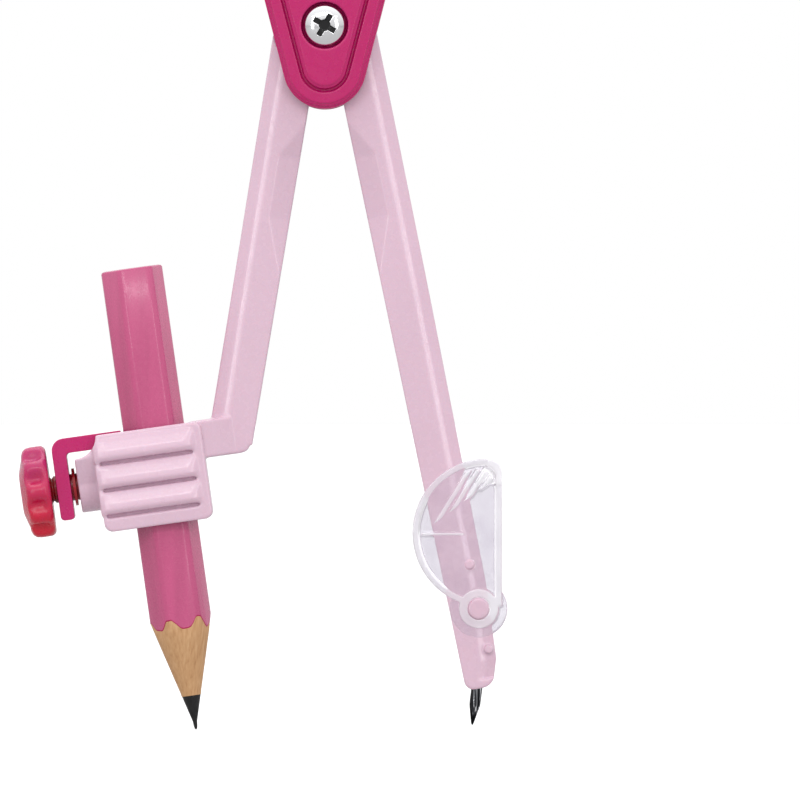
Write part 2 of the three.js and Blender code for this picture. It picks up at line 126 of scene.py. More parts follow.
def placed(angle, origin=Vector((0, 0, 0)), pivot=PIVOT):
    return Matrix.Translation(pivot + origin) @ Matrix.Rotation(angle, 4, "Y") @ Matrix.Scale(MM, 4)


HEAD_FRAME = placed(0)
PENCIL_LEG_FRAME = placed(PENCIL_LEG_SWING)
NEEDLE_LEG_FRAME = placed(NEEDLE_LEG_SWING)
PENCIL_FRAME = placed(PENCIL_TILT, PENCIL_PLACE)
COVER_FRAME = placed(0, pivot=COVER_PIVOT)


# ---- outlines, as lists of (x, z) ----

def arc(x, z, r, start, end, steps=16):
    """Points on a circle from start to end, in degrees."""
    angles = [radians(start + (end - start) * i / steps) for i in range(steps + 1)]
    return [(x + r * cos(a), z + r * sin(a)) for a in angles]


def curve(p0, p1, p2, p3, steps=14):
    """Points on a cubic curve after p0."""
    points = []
    for i in range(1, steps + 1):
        t = i / steps
        weights = ((1 - t) ** 3, 3 * t * (1 - t) ** 2, 3 * t * t * (1 - t), t ** 3)
        points.append(tuple(sum(w * p[k] for w, p in zip(weights, (p0, p1, p2, p3))) for k in (0, 1)))
    return points


def rounded_rect(left, right, bottom, top, r):
    return (arc(right - r, bottom + r, r, -90, 0, 8) + arc(right - r, top - r, r, 0, 90, 8)
            + arc(left + r, top - r, r, 90, 180, 8) + arc(left + r, bottom + r, r, 180, 270, 8))


def hexagon(across, turn=0.0):
    r = across / 2 / cos(pi / 6)
    return [(r * cos(turn + i * pi / 3), r * sin(turn + i * pi / 3)) for i in range(6)]


# ---- meshes ----

def new_object(name, mesh):
    obj = bpy.data.objects.new(name, mesh)
    bpy.context.scene.collection.objects.link(obj)
    return obj


def from_bmesh(name, bm):
    bmesh.ops.recalc_face_normals(bm, faces=bm.faces)
    mesh = bpy.data.meshes.new(name)
    bm.to_mesh(mesh)
    bm.free()
    return new_object(name, mesh)


def prism(outline, front, back):
    """An outline in x and z, filled from y = front to y = back."""
    bm = bmesh.new()
    rings = [[bm.verts.new((x, y, z)) for x, z in outline] for y in (front, back)]
    bm.faces.new(rings[0])
    bm.faces.new(reversed(rings[1]))
    count = len(outline)
    for i in range(count):
        j = (i + 1) % count
        bm.faces.new((rings[0][i], rings[1][i], rings[1][j], rings[0][j]))
    return from_bmesh("prism", bm)


def box(x0, x1, y0, y1, z0, z1):
    return prism([(x0, z0), (x1, z0), (x1, z1), (x0, z1)], y0, y1)


AXIS_FRAMES = {
    "x": Matrix(((0, 0, 1), (1, 0, 0), (0, 1, 0))).to_4x4(),
    "y": Matrix(((1, 0, 0), (0, 0, 1), (0, -1, 0))).to_4x4(),
    "z": Matrix.Identity(4),
}


def rings_mesh(rings, closed_loop=False):
    """Skins rings of equal length. Open ends are filled, unless the rings close on themselves."""
    bm = bmesh.new()
    made = [[bm.verts.new(p) for p in ring] for ring in rings]
    count = len(made[0])
    pairs = list(zip(made, made[1:]))
    if closed_loop:
        pairs.append((made[-1], made[0]))
    for low, high in pairs:
        for i in range(count):
            j = (i + 1) % count
            bm.faces.new((low[i], low[j], high[j], high[i]))
    if not closed_loop:
        bm.faces.new(reversed(made[0]))
        bm.faces.new(made[-1])
    return from_bmesh("rings", bm)


def lathe(profile, axis, segments=72, hollow=False):
    """A profile of (radius, height) turned about an axis."""
    turn = AXIS_FRAMES[axis]
    angles = [2 * pi * i / segments for i in range(segments)]
    rings = []
    for r, h in profile:
        r = max(r, LEAST_RADIUS)
        rings.append([turn @ Vector((r * cos(a), r * sin(a), h)) for a in angles])
    return rings_mesh(rings, closed_loop=hollow)


def rod(r, start, end, axis, segments=72):
    return lathe([(r, start), (r, end)], axis, segments)


def tube(outer, inner, start, end, axis, edge=0.12):
    profile = [
        (inner, start), (outer - edge, start), (outer, start + edge),
        (outer, end - edge), (outer - edge, end), (inner, end),
    ]
    return lathe(profile, axis, hollow=True)


def move(obj, x=0, y=0, z=0):
    obj.data.transform(Matrix.Translation((x, y, z)))
    return obj


def bake(obj):
    """Applies an object's modifiers to its mesh."""
    graph = bpy.context.evaluated_depsgraph_get()
    mesh = bpy.data.meshes.new_from_object(obj.evaluated_get(graph))
    obj.modifiers.clear()
    obj.data = mesh
    return obj


def combine(obj, tools, operation):
    for tool in tools:
        step = obj.modifiers.new(operation, "BOOLEAN")
        step.object = tool
        step.operation = operation
        step.solver = "EXACT"
        bake(obj)
        bpy.data.objects.remove(tool)
    return obj


def join(obj, *tools):
    return combine(obj, tools, "UNION")


def cut(obj, *tools):
    return combine(obj, tools, "DIFFERENCE")


def overlap(obj, *tools):
    return combine(obj, tools, "INTERSECT")


def soften(obj, cell=0.14, rounds=5):
    """Remeshes to cells of that size in millimetres and eases every edge, as on a moulded piece."""
    remesh = obj.modifiers.new("cells", "REMESH")
    remesh.mode = "VOXEL"
    remesh.voxel_size = cell
    remesh.use_smooth_shade = True
    ease = obj.modifiers.new("ease", "SMOOTH")
    ease.factor = 0.5
    ease.iterations = rounds
    return bake(obj)


def finish_piece(obj, name, where, body, material, slot, *nodes):
    """Places a piece drawn in millimetres, names it and gives it its material."""
    obj.name = name
    obj.data.name = name
    obj.data.transform(where)
    obj.data.materials.clear()
    obj.data.materials.append(material)
    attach(obj, body)
    if nodes:
        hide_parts(*nodes)
    return obj


def shade_smooth(obj, angle=35):
    """Smooth faces, with edges sharper than the angle kept."""
    mesh = obj.data
    mesh.polygons.foreach_set("use_smooth", [True] * len(mesh.polygons))
    bm = bmesh.new()
    bm.from_mesh(mesh)
    for edge in bm.edges:
        edge.smooth = not edge.is_manifold or edge.calc_face_angle(0) < radians(angle)
    bm.to_mesh(mesh)
    bm.free()
    return obj


# ---- materials ----

def linear(*rgb):
    """A 0-255 display colour as linear RGBA."""
    def one(value):
        value /= 255
        return value / 12.92 if value <= 0.04045 else ((value + 0.055) / 1.055) ** 2.4
    return (*(one(v) for v in rgb), 1)


class Nodes:
    """Short names for building one material's node tree."""

    def __init__(self, name):
        self.material = bpy.data.materials.new(name)
        self.material.use_nodes = True
        self.tree = self.material.node_tree
        self.shader = self.tree.nodes["Principled BSDF"]
        self.place = self.add("ShaderNodeTexCoord").outputs["Object"]

    def add(self, kind, **settings):
        node = self.tree.nodes.new(kind)
        for key, value in settings.items():
            setattr(node, key, value)
        return node

    def link(self, source, target):
        self.tree.links.new(source, target)

    def set(self, **values):
        for key, value in values.items():
            self.shader.inputs[key.replace("_", " ")].default_value = value

    def stretched(self, scale, rotation=(0, 0, 0)):
        mapping = self.add("ShaderNodeMapping")
        mapping.inputs["Scale"].default_value = scale
        mapping.inputs["Rotation"].default_value = rotation
        self.link(self.place, mapping.inputs["Vector"])
        return mapping.outputs["Vector"]

    def noise(self, scale, detail=3.0, vector=None):
        noise = self.add("ShaderNodeTexNoise")
        noise.inputs["Scale"].default_value = scale
        noise.inputs["Detail"].default_value = detail
        self.link(vector or self.place, noise.inputs["Vector"])
        return noise.outputs["Fac"]

    def ramp(self, fac, stops):
        ramp = self.add("ShaderNodeValToRGB")
        elements = ramp.color_ramp.elements
        while len(elements) < len(stops):
            elements.new(0.5)
        for element, (position, colour) in zip(elements, stops):
            element.position = position
            element.color = colour
        self.link(fac, ramp.inputs["Fac"])
        return ramp.outputs["Color"]

    def coordinate(self, axis):
        """How far along X, Y or Z the shaded point lies."""
        axes = self.add("ShaderNodeSeparateXYZ")
        self.link(self.place, axes.inputs["Vector"])
        return axes.outputs[axis]

    def between(self, value, start, end, low=0.0, high=1.0):
        """low where the value is at start, high where it is at end."""
        between = self.add("ShaderNodeMapRange")
        between.inputs["From Min"].default_value = start
        between.inputs["From Max"].default_value = end
        between.inputs["To Min"].default_value = low
        between.inputs["To Max"].default_value = high
        self.link(value, between.inputs["Value"])
        return between.outputs["Result"]

    def colour(self, fac, stops):
        self.link(self.ramp(fac, stops), self.shader.inputs["Base Color"])

    def polish(self, fac, low, high):
        """Roughness that wanders between two values with a noise."""
        self.link(self.between(fac, 0.3, 0.7, low, high), self.shader.inputs["Roughness"])

    def bump(self, height, depth, strength=0.4):
        bump = self.add("ShaderNodeBump")
        bump.inputs["Distance"].default_value = depth
        bump.inputs["Strength"].default_value = strength
        self.link(height, bump.inputs["Height"])
        self.link(bump.outputs["Normal"], self.shader.inputs["Normal"])


def tint(colour, amount):
    return tuple(min(1, c * amount) for c in colour[:3]) + (1,)


def plastic(name, colour, roughness, coat=0.35, cloudiness=0.025):
    """Moulded gloss plastic: cloudy colour, uneven polish, and a trace of ripple in the surface."""
    n = Nodes(name)
    cloud = n.noise(scale=90, detail=3)
    stops = [(0.3, tint(colour, 1 - cloudiness)), (0.7, tint(colour, 1 + cloudiness))]
    n.colour(cloud, stops)
    n.polish(n.noise(scale=900, detail=3), roughness * 0.8, roughness * 1.25)
    n.bump(n.noise(scale=1400, detail=2), depth=0.00003, strength=0.25)
    n.set(Coat_Weight=coat, Coat_Roughness=0.12, IOR=1.45, Subsurface_Weight=0.06, Subsurface_Scale=0.001)
    return n.material


def metal(name, colour, roughness, brushed=0.0):
    """Turned or plated metal, with fine tool lines where brushed is above 0."""
    n = Nodes(name)
    lines = n.noise(scale=1, detail=4, vector=n.stretched((9000, 900, 9000)))
    stops = [(0.25, tint(colour, 0.8)), (0.75, tint(colour, 1.08))]
    n.colour(lines, stops)
    n.polish(lines, roughness * 0.7, roughness * 1.4)
    n.bump(lines, depth=0.00002, strength=0.1 + brushed)
    n.set(Metallic=1.0)
    return n.material


def needle_steel():
    """Ground steel, with painted reflections: dark and bright lines along the needle."""
    n = Nodes("needle_steel")
    lines = n.noise(scale=1, detail=2, vector=n.stretched((2600, 2600, 45)))
    # painted reflections: near-black, grey and near-white streaks along the needle
    stops = [(0.45, linear(22, 23, 25)), (0.57, linear(78, 80, 84)), (0.64, linear(238, 239, 242))]
    n.colour(lines, stops)
    n.polish(lines, 0.24, 0.12)
    n.bump(lines, depth=0.00002, strength=0.2)
    n.set(Metallic=1.0)
    return n.material


def pencil_paint():
    n = Nodes("pencil_paint")
    colour = linear(189, 80, 124)
    along = n.stretched((700, 700, 60), (0, -PENCIL_TILT, 0))
    streak = n.noise(scale=1, detail=4, vector=along)
    n.colour(streak, [(0.3, tint(colour, 0.93)), (0.7, tint(colour, 1.06))])
    n.polish(n.noise(scale=1500, detail=3), 0.2, 0.34)
    n.bump(streak, depth=0.00003, strength=0.2)
    n.set(Coat_Weight=0.2, Coat_Roughness=0.1, IOR=1.45)
    return n.material


def sharpened_wood():
    n = Nodes("sharpened_wood")
    grain = n.noise(scale=1, detail=6, vector=n.stretched((3600, 3600, 170), (0, -PENCIL_TILT, 0)))
    stops = [
        (0.25, linear(172, 126, 84)), (0.42, linear(190, 145, 101)),
        (0.6, linear(197, 153, 109)), (0.8, linear(207, 166, 123)),
    ]
    n.colour(grain, stops)
    n.polish(grain, 0.75, 0.55)
    n.bump(grain, depth=0.00008, strength=0.6)
    return n.material


def graphite():
    n = Nodes("graphite")
    rub = n.noise(scale=1, detail=5, vector=n.stretched((5000, 5000, 900), (0, -PENCIL_TILT, 0)))
    n.colour(rub, [(0.3, linear(12, 12, 13)), (0.75, linear(34, 34, 36))])
    n.polish(rub, 0.55, 0.3)
    n.bump(rub, depth=0.00004, strength=0.5)
    n.set(Metallic=0.25)
    return n.material


def nylon():
    n = Nodes("nylon")
    grain = n.noise(scale=2500, detail=4)
    n.colour(grain, [(0.3, linear(208, 204, 196)), (0.7, linear(226, 222, 214))])
    n.polish(grain, 0.5, 0.7)
    n.bump(grain, depth=0.00003, strength=0.3)
    return n.material


def clear_plastic():
    """See-through moulded plastic that bends what lies behind it, with an uneven polish."""
    n = Nodes("clear_plastic")
    haze = n.noise(scale=300, detail=3)
    stops = [(0.3, linear(229, 226, 232)), (0.7, linear(238, 236, 240))]
    n.colour(haze, stops)
    n.polish(n.noise(scale=1300, detail=3), 0.015, 0.05)
    off_middle = n.add("ShaderNodeMath", operation="ABSOLUTE")
    n.link(n.coordinate("Y"), off_middle.inputs[0])
    # painted highlight: the raised rim, ring and ribs let less light through and show whiter
    plain, raised = (COVER_FACE + 0.06) * MM, (COVER_FACE + 0.2) * MM
    clearness = n.between(off_middle.outputs["Value"], plain, raised, 0.95, 0.5)
    n.link(clearness, n.shader.inputs["Transmission Weight"])
    n.set(IOR=1.46)
    return n.material


def knob_plastic_painted_light(top, bottom):
    """The knob's translucent plastic, with painted light and shade: pinker towards the top, redder towards
    the bottom.
    """
    n = Nodes("knob_plastic_painted_light")
    middle = (PENCIL_FRAME @ Vector((KNOB_MIDDLE, 0, CLAMP_Z))).z
    share = n.between(n.coordinate("Z"), middle - 5 * MM, middle + 5 * MM)
    # the noise shifts the gradient up and down by half of this much
    waver = 0.3
    wander = n.add("ShaderNodeMath", operation="MULTIPLY_ADD")
    n.link(n.noise(scale=350, detail=3), wander.inputs[0])
    wander.inputs[1].default_value = waver
    wander.inputs[2].default_value = -waver / 2
    mixed = n.add("ShaderNodeMath", operation="ADD")
    n.link(share, mixed.inputs[0])
    n.link(wander.outputs["Value"], mixed.inputs[1])
    # painted light and shade: the bottom colour low on the knob, the top colour high on it
    n.colour(mixed.outputs["Value"], [(0.1, bottom), (0.9, top)])
    n.polish(n.noise(scale=900, detail=3), 0.2, 0.34)
    n.set(Coat_Weight=0.15, Coat_Roughness=0.12, IOR=1.45, Subsurface_Weight=0.15, Subsurface_Scale=0.0015)
    return n.material


def screw_chrome(colour, roughness):
    """Plating that is bright on the dome, with painted shade that makes it dark down in the cross slot."""
    n = Nodes("plated_screw")
    dark = tint(colour, 0.05)
    depth = n.between(n.coordinate("Y"), PIVOT.y + SLOT_MOUTH * MM, PIVOT.y + SLOT_BELOW_FLOOR * MM)
    from_axis = n.add("ShaderNodeVectorMath", operation="DISTANCE")
    level = n.add("ShaderNodeCombineXYZ")
    n.link(n.coordinate("X"), level.inputs["X"])
    n.link(n.coordinate("Z"), level.inputs["Z"])
    n.link(level.outputs["Vector"], from_axis.inputs[0])
    from_axis.inputs[1].default_value = (PIVOT.x, 0, PIVOT.z)
    inside = n.add("ShaderNodeMath", operation="LESS_THAN")
    n.link(from_axis.outputs["Value"], inside.inputs[0])
    inside.inputs[1].default_value = SLOT_REACH * MM
    slot_painted_shade = n.add("ShaderNodeMath", operation="MULTIPLY")
    n.link(depth, slot_painted_shade.inputs[0])
    n.link(inside.outputs["Value"], slot_painted_shade.inputs[1])
    # painted shade: the plating's colour outside the slot, near black inside it
    stops = [(0.0, colour), (0.22, dark), (0.74, dark), (0.86, colour)]
    n.colour(slot_painted_shade.outputs["Value"], stops)
    n.polish(n.noise(scale=2500, detail=3), roughness * 0.7, roughness * 1.4)
    n.bump(n.noise(scale=1800, detail=2), depth=0.00002, strength=0.15)
    n.set(Metallic=1.0)
    return n.material


PINK = plastic("pale_pink_plastic", linear(211, 179, 196), 0.26)
MAGENTA = plastic("magenta_plastic", linear(183, 16, 98), 0.27, 0.12)
# the knob's painted lit top colour, then its painted shaded bottom colour
KNOB_RED = knob_plastic_painted_light(linear(174, 35, 96), linear(198, 10, 46))
SHAFT_RED = plastic("screw_plastic", linear(172, 14, 30), 0.3, 0.12)
CHROME = screw_chrome(linear(226, 226, 228), 0.1)
NEEDLE_STEEL = needle_steel()
STEEL = metal("plain_steel", linear(186, 187, 190), 0.3, 0.2)
BRASS = metal("turned_brass", linear(205, 166, 92), 0.3, 0.2)
PAINT = pencil_paint()
CUT_PAINT = plastic("cut_pencil_paint", linear(168, 14, 78), 0.45, 0.0)
WOOD = sharpened_wood()
GRAPHITE = graphite()
NYLON = nylon()
CLEAR = clear_plastic()


# ---- head ----

def head_outline(inset, top):
    """The covers' outline, drawn in by inset."""
    flare = 14.4
    r = 5.2 - inset
    wide = 7.55 - inset
    wide_z = 3.3
    neck = 4.2 - inset * 0.8
    right = curve((wide, wide_z), (wide + 0.5, wide_z + 3), (neck + 0.2, top - 4.5), (neck, top))
    left = [(-x, z) for x, z in reversed(right)]
    return arc(0, -5.2, r, 180 + flare, 360 - flare, 40) + [(wide, wide_z)] + right + left + [(-wide, wide_z)]


def head_cover(side):
    """side -1 is the front cover, +1 the rear one."""
    def span(near, far):
        return (-far, -near) if side < 0 else (near, far)
    plate = prism(head_outline(0, HEAD_TOP), *span(COVER_INNER, COVER_OUTER - 0.7))
    # two thinner and smaller layers give the outer edge its slope
    layers = [prism(head_outline(0.3, HEAD_TOP - 0.2), *span(COVER_INNER + 1, COVER_OUTER - 0.3)),
              prism(head_outline(0.65, HEAD_TOP - 0.5), *span(COVER_INNER + 1, COVER_OUTER))]
    panel = prism(head_outline(PANEL_INSET, HEAD_TOP - 3.2), *span(COVER_OUTER - 1, PANEL_FACE - 0.25))
    panel_face = prism(head_outline(PANEL_INSET + 0.35, HEAD_TOP - 3.5), *span(COVER_OUTER - 1, PANEL_FACE))
    # a valley runs round the panel
    valley = prism(head_outline(PANEL_INSET - 0.45, HEAD_TOP - 2.7), *span(COVER_OUTER - 0.5, PANEL_FACE + 1))
    cut(valley, prism(head_outline(PANEL_INSET, HEAD_TOP - 3.2), *span(COVER_OUTER - 1, PANEL_FACE + 2)))
    cover = cut(join(plate, *layers, panel, panel_face), valley)
    washer_well = rod(4.8, *span(COVER_INNER - 1, COVER_INNER + 0.9), "y")
    hole = rod(1.6, -10, 10, "y")
    if side < 0:
        well = rod(WELL_R, -10, -WELL_FLOOR, "y")
    else:
        well = prism(hexagon(5.7), 3.7, 10)
    return soften(cut(cover, washer_well, hole, well), 0.11, 4)


def hinge_screw():
    seat = -WELL_FLOOR - 0.3
    r, reach, width = SCREW_HEAD_R, SLOT_HALF_LENGTH, SLOT_HALF_WIDTH
    dome = []
    for degree in range(0, 91, 10):
        angle = radians(degree)
        dome.append((r * sin(angle), -SCREW_HEAD_FACE + SCREW_DOME_RISE * (1 - cos(angle))))
    shank = [(r, seat - 0.1), (r - 0.1, seat), (SCREW_SHANK_R, seat), (SCREW_SHANK_R, 5.3)]
    body = lathe(dome + shank, "y", 96)
    for turn in (30, 120):
        arm = box(-reach, reach, -7, -5.0, -width, width)
        arm.data.transform(Matrix.Rotation(radians(turn), 4, "Y"))
        cut(body, arm)
    cut(body, prism(arc(0, 0, 0.72, 0, 345, 23), -7, -4.9))
    return soften(body, 0.055, 2)


def hinge_nut():
    nut = prism(hexagon(5.0), 4.0, 5.3)
    chamfer = lathe([(2.6, 3.99), (2.95, 4.3), (2.95, 5.0), (2.6, 5.31)], "y", 96)
    return soften(cut(overlap(nut, chamfer), rod(1.6, 3, 7, "y")), 0.07, 2)


def build_head():
    finish_piece(head_cover(-1), "front_cover", HEAD_FRAME, "head", MAGENTA, "magenta", "head_front_cover")
    finish_piece(head_cover(1), "rear_cover", HEAD_FRAME, "head", MAGENTA, "magenta", "head_rear_cover")
    finish_piece(
        hinge_screw(), "domed_hinge_screw", HEAD_FRAME, "head", CHROME, "bright_steel", "hinge_screw")
    finish_piece(hinge_nut(), "hinge_hex_nut", HEAD_FRAME, "head", STEEL, "steel", "hinge_nut")


# ---- grip ----

def grip_sleeve():
    bottom, top = GRIP_BOTTOM, GRIP_TOP
    steps = FLUTES * 16

    def ring(z, shrink):
        points = []
        for i in range(steps):
            angle = 2 * pi * i / steps
            radius = GRIP_R - shrink - FLUTE_DEPTH * max(0.0, cos(FLUTES * angle)) ** 1.5
            points.append((radius * cos(angle), radius * sin(angle), z))
        return points

    heights = [(bottom, 0.0), (top - 0.5, 0.0), (top - 0.15, 0.15), (top, 0.5)]
    sleeve = rings_mesh([ring(z, shrink) for z, shrink in heights])
    collar = lathe([(4.5, bottom), (4.9, bottom + 0.4), (4.9, bottom + 1.8), (4.5, bottom + 2.2)], "z")
    return soften(cut(join(sleeve, collar), rod(1.8, 10, 45, "z")), 0.17, 3)


def grip_cap():
    profile = [(4.1, 38.3), (4.3, 38.5), (4.3, 40.7)]
    profile += [(3.1 + 1.2 * cos(radians(a)), 40.7 + 1.2 * sin(radians(a))) for a in range(15, 91, 15)]
    cap = lathe(profile, "z", 96)
    for z in (39.2, 39.9):
        cut(cap, tube(5, 4.12, z, z + 0.3, "z", 0.02))
    return soften(cut(cap, rod(1.8, 37, 40.2, "z")), 0.15, 2)


def build_grip():
    finish_piece(grip_sleeve(), "ribbed_grip", HEAD_FRAME, "head", MAGENTA, "magenta", "grip_sleeve")
    finish_piece(grip_cap(), "rounded_cap", HEAD_FRAME, "head", MAGENTA, "magenta", "grip_cap")


# ---- legs ----

def convex_hull(points):
    bm = bmesh.new()
    for point in points:
        bm.verts.new(point)
    bmesh.ops.convex_hull(bm, input=bm.verts)
    return from_bmesh("hull", bm)


def scoop(side):
    """The finger hollow in a leg's front inner edge."""
    top, high, low, bottom, across, depth, spare = -12.2, -16.9, -24.7, -32.2, 3.0, 1.2, 0.3
    edge = LEG_INNER - (across - LEG_INNER) * spare
    face = -LEG_HALF_DEPTH
    deep = face + depth * (1 + spare)
    upper = top + (top - high) * spare
    lower = bottom + (bottom - low) * spare
    flat = [(edge, upper), (across, high), (across, low), (edge, lower)]
    points = [(side * x, y, z) for x, z in flat for y in (face, face - 1.5)]
    points += [(side * edge, deep, high), (side * edge, deep, low)]
    return convex_hull(points)


def edge_slope(side):
    """A tapering wedge that slopes a leg's front outer edge along its whole length."""
    x = LEG_OUTER_TOP
    face = -LEG_HALF_DEPTH
    # a gentle slope first, and a steeper one outside it
    wedge = [(x - 2.2, face - 0.01), (x + 0.7, face - 0.01), (x + 0.7, face + 1.3), (x - 1.2, face + 0.22)]
    stations = ((8, 0.0), (-36, 0.25), (-72, 0.7), (-81.7, 1.37), (-84, 2.2))
    rings = [[(side * (px - narrowing), py, z) for px, py in wedge] for z, narrowing in stations]
    return rings_mesh(rings)


def hinged(arm, disc_side):
    join(arm, rod(DISC_R, -LEG_HALF_DEPTH, LEG_HALF_DEPTH, "y", 96))
    lap = (-DISC_INNER_FACE, 5) if disc_side < 0 else (-5, DISC_INNER_FACE)
    return cut(arm, rod(LAP_R, *lap, "y", 96), rod(BUSH_BORE_R, -5, 5, "y"))


def pencil_leg():
    outline = [(-LEG_INNER, 0), (-LEG_OUTER_TOP, 0), (-5.95, -36), (-5.9, -51.4), (-LEG_INNER, -53.2)]
    arm = hinged(prism(outline, -LEG_HALF_DEPTH, LEG_HALF_DEPTH), 1)
    cut(arm, scoop(-1), edge_slope(-1))
    arm.data.transform(PENCIL_FRAME.inverted() @ PENCIL_LEG_FRAME)
    return soften(join(holder(), arm), 0.17, 4)


def holder_rib(under, side):
    """A ledge across the holder, steep under its crest and gentle above it, fading out at its ends."""
    root = HOLDER_FACE - 0.5
    rise = RIB_CREST - HOLDER_FACE
    section = [(0.0, -0.1), (0.5, 0.08), (1.0, 0.5), (0.85, 1.2), (0.3, 2.5), (0.0, 2.9)]
    stations = [(-7.9, 0.1), (-7.3, 0.75), (-6.3, 1.0), (3.4, 1.0), (4.3, 0.7), (4.9, 0.1)]
    rings = []
    for x, share in stations:
        ring = [(x, side * root, under - 0.1)]
        ring += [(x, side * (HOLDER_FACE + rise * share * out), under + up) for out, up in section]
        ring.append((x, side * root, under + 2.9))
        rings.append(ring)
    return rings_mesh(rings)


def boss_web(side):
    """The wall that runs from the boss up to the holder's corner. Its face leans back to meet the boss."""
    low, high, face = 0.4, 3.75, 4.85
    near, far = (-face, -2) if side < 0 else (2, face)
    slope = [(x, side * y, z) for x in (-11, -6) for y, z in ((3.25, low - 0.1), (face + 0.02, high))]
    slope += [(x, side * 8, z) for x in (-11, -6) for z in (low - 0.1, high)]
    return cut(box(-10.3, -6.5, near, far, low, 6.4), convex_hull(slope))


def elbow_ramp():
    """The slopes that bring the elbow's faces out to the holder's."""
    ends = ((4.9, HOLDER_FACE - 0.1), (10, LEG_HALF_DEPTH - 0.1))
    return convex_hull([(x, side * y, z) for x, y in ends for side in (-1, 1) for z in (1.75, 6.35)])


def holder():
    """The pencil holder and the elbow that joins it to the arm, with the pencil upright."""
    left, right, depth = SOCKET
    body = prism(rounded_rect(-7.7, 5.9, -5.8, 6.4, 1.0), -HOLDER_FACE, HOLDER_FACE)
    join(body, *[holder_rib(z, side) for z in RIB_UNDERSIDES for side in (-1, 1)])
    for z in RIB_UNDERSIDES:
        for y0, y1 in ((-HOLDER_FACE - 1, -HOLDER_FACE + 0.75), (HOLDER_FACE - 0.75, HOLDER_FACE + 1)):
            cut(body, box(-7.3, 4.5, y0, y1, z - 0.48, z - 0.02))
    join(body, move(rod(3.35, -10.3, left, "x"), z=CLAMP_Z), boss_web(-1), boss_web(1))
    cut(body, move(rod(2.75, -20, 20, "y"), -10.05, 0, 6.55))
    elbow = [(4.6, 1.7), (10.2, 1.7)] + curve((10.2, 1.7), (11.4, 1.7), (11.9, 2.3), (11.4, 3.9), 8)
    elbow += [(10, 6.5), (4.6, 6.5)]
    join(body, prism(elbow, -LEG_HALF_DEPTH, LEG_HALF_DEPTH), elbow_ramp())
    cut(body, box(left, right, -depth, depth, -20, 20))
    cut(body, move(rod(2.85, -20, left + 1, "x"), z=CLAMP_Z))
    return cut(body, box(-12.7, left + 1, -3.6, 3.6, 4.4, 20))


def needle_axis():
    """The needle's own frame: z runs from its tip up into the leg."""
    lean = atan2(1.65 - 0.15, -85 + 89.3)
    return Matrix.Translation((0.15, 0, -89.3)) @ Matrix.Rotation(lean, 4, "Y")


def needle_leg():
    outline = [(LEG_OUTER_TOP, 0), (LEG_INNER, 0)] + arc(1.5, -83.8, 1.2, 180, 270, 10)
    outline += arc(2.45, -83.2, 1.8, 270, 333, 10) + [(4.83, -81.7), (5.5, -72), (5.95, -36)]
    arm = hinged(prism(outline, -LEG_HALF_DEPTH, LEG_HALF_DEPTH), -1)
    cut(arm, scoop(1), edge_slope(1))
    pin_end = COVER_FACE + 0.15
    join(arm, move(rod(1.28, -pin_end, pin_end, "y", 48), PIN[0], 0, PIN[1]))
    for dx, dz in ((0.05, 5.6), (0.2, -5.2)):
        nub = rod(0.55, -LEG_HALF_DEPTH - 0.22, LEG_HALF_DEPTH + 0.22, "y", 32)
        join(arm, move(nub, PIN[0] + dx, 0, PIN[1] + dz))
    hole = rod(0.78, 3, 10.9, "z", 32)
    hole.data.transform(needle_axis())
    return soften(cut(arm, hole), 0.15, 4)


def needle():
    profile = [(0.01, 0), (0.09, 0.06), (0.2, 0.35), (0.68, 2.5), (0.7, 2.75), (0.7, 10.4), (0.55, 10.5)]
    return lathe(profile, "z", 64)


def build_legs():
    finish_piece(
        pencil_leg(), "pencil_leg_with_holder", PENCIL_FRAME, "pencil_arm", PINK, "pale_pink", "pencil_leg")
    finish_piece(
        needle_leg(), "needle_leg_arm", NEEDLE_LEG_FRAME, "needle_arm", PINK, "pale_pink", "needle_leg")
    pin = shade_smooth(needle())
    pin.data.transform(needle_axis())
    finish_piece(
        pin, "steel_needle", NEEDLE_LEG_FRAME, "needle_arm", NEEDLE_STEEL, "bright_steel", "needle")


# ---- clamp ----

def clamp_bracket():
    outline = [(-11.25, -3.1), (-11.25, 4.3)] + arc(-10.85, 4.3, 0.4, 180, 90, 4)
    outline += [(-5.3, 4.7), (-5.3, -3.6), (-4.15, -3.6), (-4.15, 6.6)]
    outline += arc(-11.5, 5.1, 1.5, 90, 180, 10) + arc(-12.5, -3.1, 0.5, 180, 270, 6)
    outline += arc(-11.75, -3.1, 0.5, 270, 360, 6)[:-1]
    bracket = prism(outline, -3.3, 3.3)
    return soften(cut(bracket, move(rod(1.78, -20, -9, "x"), z=CLAMP_Z)), 0.1, 4)


def clamp_knob():
    """A wheel with finger dents round its rim, a smooth flange on its inner side and a domed outer face."""
    steps = KNOB_LOBES * 20

    def ring(x, shrink, dent):
        points = []
        for i in range(steps):
            angle = 2 * pi * i / steps
            radius = KNOB_R - shrink - dent * (0.5 - 0.5 * cos(KNOB_LOBES * angle)) ** 1.5
            points.append((x, radius * cos(angle), radius * sin(angle)))
        return points

    stations = [
        (-13.8, 0.75, 0.0), (-13.95, 0.35, 0.1), (-14.3, 0.05, 0.35), (-14.9, 0.0, 0.85), (-15.7, 0.0, 0.95),
        (-16.3, 0.1, 0.75), (-16.7, 0.45, 0.35), (-16.95, 1.1, 0.0),
    ]
    body = rings_mesh([ring(*station) for station in stations])
    join(body, lathe([(0.5, -17.66), (2.6, -17.5), (4.1, -17.05), (4.85, -16.5), (4.6, -15)], "x"))
    cut(body, lathe([(2.3, -18), (1.9, -17.35), (0.4, -17.2)], "x"))
    cut(body, rod(1.78, -16.0, -13, "x"))
    return soften(move(body, z=CLAMP_Z), 0.12, 4)


